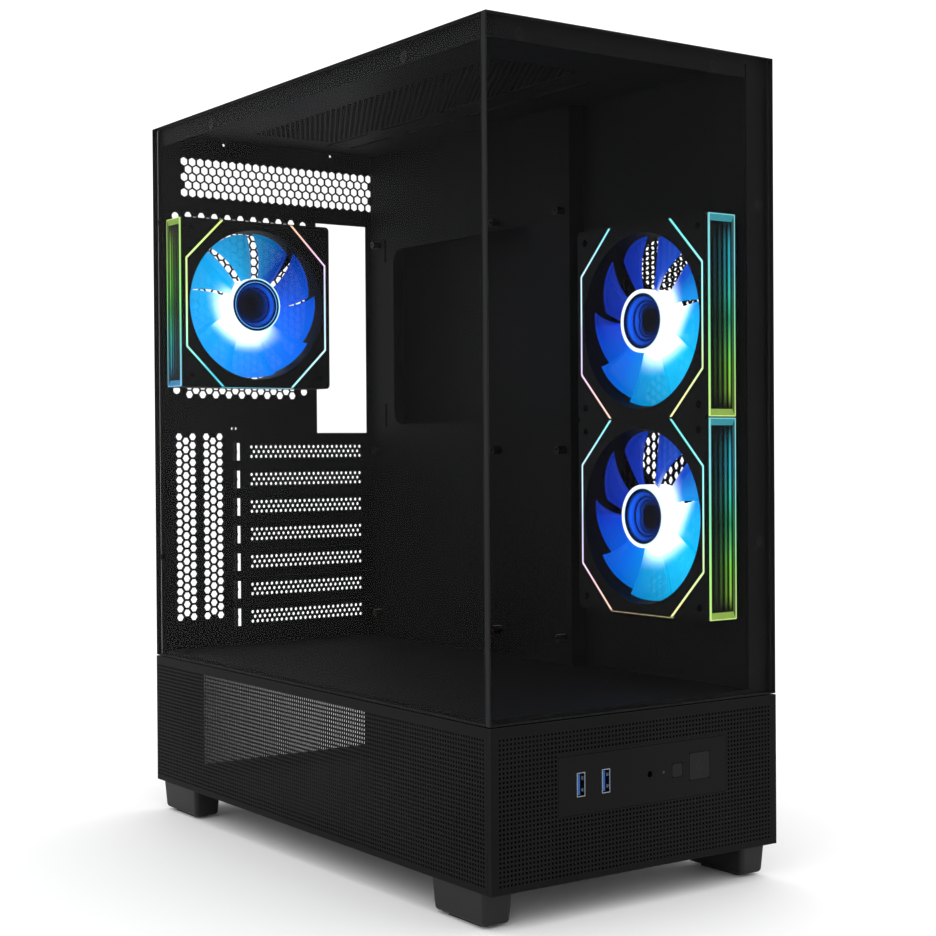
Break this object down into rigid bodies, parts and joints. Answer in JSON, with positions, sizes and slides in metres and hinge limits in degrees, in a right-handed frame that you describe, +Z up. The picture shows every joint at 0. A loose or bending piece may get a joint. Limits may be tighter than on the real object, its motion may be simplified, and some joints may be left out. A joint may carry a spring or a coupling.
{
  "type": "desktop computer tower case",
  "caption": "Mid-tower computer case with glass side and front, perforated lower band, front ports, vented rear and lit fans; empty inside.",
  "frame": {"origin": "on the floor, under the middle of the case's bounding box", "axes": "+Z up; -Y is the front, +Y the rear with the connector openings; -X is the glass side, +X the steel side behind the motherboard tray"},
  "size_m": [0.21, 0.4097, 0.487],
  "materials": {
    "chassis_steel": "fine powder coat, satin black",
    "outer_steel": "fine textured powder coat, matt black",
    "smoked_glass": "tempered, lightly smoked, polished edges",
    "foot_plastic": "moulded, fine matt grain",
    "rubber": "matt",
    "filter_mesh": "fine nylon mesh in a thin magnetic border",
    "black_screw": "black zinc",
    "stud_steel": "turned",
    "brass": "turned",
    "io_plastic": "moulded, very fine grain",
    "circuit_board": "black solder mask",
    "usb_steel": "nickel plated sheet",
    "usb_blue": "moulded",
    "jack_plastic": "moulded",
    "clear_plastic": "clear light pipe",
    "fan_plastic": "moulded, fine grain",
    "fan_light": "frosted light guide, lit",
    "fan_light_bar": "mirror-backed light bar, lit",
    "stator_copper": "wound copper on a laminated core",
    "fan_blade": "translucent, lit from the hub",
    "shaft_steel": "ground"
  },
  "bodies": {
    "chassis": {"audio_jack": "jack_plastic", "base_pan": "chassis_steel", "fan_screws": "black_screw", "foot_front_left": "foot_plastic", "foot_front_right": "foot_plastic", "foot_pads": "rubber", "foot_rear_left": "foot_plastic", "foot_rear_right": "foot_plastic", "front_frame": "chassis_steel", "front_io_board": "circuit_board", "front_io_plate": "io_plastic", "front_pillar": "chassis_steel", "led_pipe": "clear_plastic", "lower_side_fan_frame": "fan_plastic", "lower_side_fan_light_bar": "fan_light_bar", "lower_side_fan_ring": "fan_light", "lower_side_fan_stator": "stator_copper", "motherboard_tray": "chassis_steel", "psu_shroud": "chassis_steel", "push_switches": "jack_plastic", "rear_fan_frame": "fan_plastic", "rear_fan_light_bar": "fan_light_bar", "rear_fan_ring": "fan_light", "rear_fan_stator": "stator_copper", "rear_panel": "chassis_steel", "side_fan_wall": "chassis_steel", "slot_cover_1": "chassis_steel", "slot_cover_2": "chassis_steel", "slot_cover_3": "chassis_steel", "slot_cover_4": "chassis_steel", "slot_cover_5": "chassis_steel", "slot_cover_6": "chassis_steel", "slot_cover_7": "chassis_steel", "slot_screws": "black_screw", "standoffs": "brass", "top_panel": "chassis_steel", "upper_side_fan_frame": "fan_plastic", "upper_side_fan_light_bar": "fan_light_bar", "upper_side_fan_ring": "fan_light", "upper_side_fan_stator": "stator_copper", "usb_shells": "usb_steel", "usb_tongues": "usb_blue"},
    "glass_side": {"glass_side_panel": "smoked_glass", "glass_side_studs": "stud_steel"},
    "glass_front": {"glass_front_panel": "smoked_glass", "glass_front_studs": "stud_steel"},
    "side_band": {"lower_side_mesh": "outer_steel"},
    "front_band": {"lower_front_mesh": "outer_steel"},
    "steel_side": {"right_side_panel": "outer_steel", "thumbscrews": "black_screw"},
    "top_dust_filter": {"top_filter": "filter_mesh"},
    "psu_dust_filter": {"psu_filter": "filter_mesh"},
    "power_key": {"power_button": "io_plastic"},
    "reset_key": {"reset_button": "io_plastic"},
    "rear_fan_spinner": {"rear_fan_rotor": "fan_blade", "rear_fan_shaft": "shaft_steel"},
    "upper_side_fan_spinner": {"upper_side_fan_rotor": "fan_blade", "upper_side_fan_shaft": "shaft_steel"},
    "lower_side_fan_spinner": {"lower_side_fan_rotor": "fan_blade", "lower_side_fan_shaft": "shaft_steel"}
  },
  "joints": [
    {"name": "glass_side_pull", "type": "slide", "parent": "chassis", "child": "glass_side", "axis": [-1, 0, 0], "range_m": [0, 0.15]},
    {"name": "glass_front_pull", "type": "slide", "parent": "chassis", "child": "glass_front", "axis": [0, -1, 0], "range_m": [0, 0.15]},
    {"name": "side_band_pull", "type": "slide", "parent": "chassis", "child": "side_band", "axis": [-1, 0, 0], "range_m": [0, 0.12]},
    {"name": "front_band_pull", "type": "slide", "parent": "chassis", "child": "front_band", "axis": [0, -1, 0], "range_m": [0, 0.12]},
    {"name": "steel_side_slide", "type": "slide", "parent": "chassis", "child": "steel_side", "axis": [0, 1, 0], "range_m": [0, 0.3]},
    {"name": "top_filter_lift", "type": "slide", "parent": "chassis", "child": "top_dust_filter", "axis": [0, 0, 1], "range_m": [0, 0.1]},
    {"name": "psu_filter_slide", "type": "slide", "parent": "chassis", "child": "psu_dust_filter", "axis": [0, 1, 0], "range_m": [0, 0.18]},
    {"name": "power_press", "type": "slide", "parent": "chassis", "child": "power_key", "axis": [0, 1, 0], "range_m": [0, 0.0012], "stiffness_N_per_m": 400, "springref_m": -0.001},
    {"name": "reset_press", "type": "slide", "parent": "chassis", "child": "reset_key", "axis": [0, 1, 0], "range_m": [0, 0.0012], "stiffness_N_per_m": 400, "springref_m": -0.001},
    {"name": "rear_fan_spin", "type": "hinge", "parent": "chassis", "child": "rear_fan_spinner", "pos_m": [-0.0384, 0.172, 0.3615], "axis": [0, -1, 0], "continuous": true},
    {"name": "upper_side_fan_spin", "type": "hinge", "parent": "chassis", "child": "upper_side_fan_spinner", "pos_m": [0.061, -0.134, 0.3343], "axis": [-1, 0, 0], "continuous": true},
    {"name": "lower_side_fan_spin", "type": "hinge", "parent": "chassis", "child": "lower_side_fan_spinner", "pos_m": [0.061, -0.134, 0.2143], "axis": [-1, 0, 0], "continuous": true}
  ]
}
